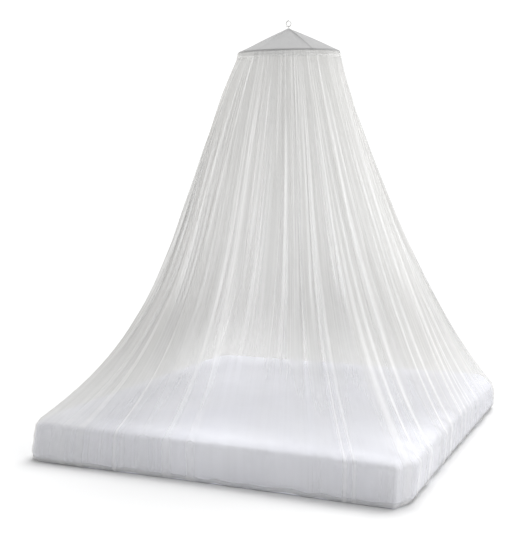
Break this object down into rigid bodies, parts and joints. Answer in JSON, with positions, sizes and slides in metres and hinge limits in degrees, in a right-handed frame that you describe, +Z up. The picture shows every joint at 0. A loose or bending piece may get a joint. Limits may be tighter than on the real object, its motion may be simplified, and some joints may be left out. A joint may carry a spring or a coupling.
{
  "type": "mosquito net canopy over mattress",
  "caption": "Bell-shaped hanging mosquito net on a small hoop, spread in uneven folds over a thick double mattress with its hem turned in.",
  "frame": {"origin": "middle of the flat underside of the mattress, on the floor", "axes": "+Z up, +Y from the foot of the bed to its head, +X across the bed to the right as seen from the foot"},
  "size_m": [1.8577, 2.0442, 2.1315],
  "materials": {
    "net_cloth": "fine sheer white net",
    "cap_cloth": "close-woven pale grey-white voile",
    "hoop_plastic": "satin white",
    "cord_white": "white twisted cord",
    "ring_steel": "satin nickel",
    "mattress_cloth": "matt white cotton"
  },
  "bodies": {
    "root": {"net": "net_cloth", "heading_band": "net_cloth", "cap_cloth": "cap_cloth", "hoop": "hoop_plastic", "hanging_loop": "cord_white", "hanging_ring": "ring_steel", "mattress": "mattress_cloth"}
  },
  "joints": []
}
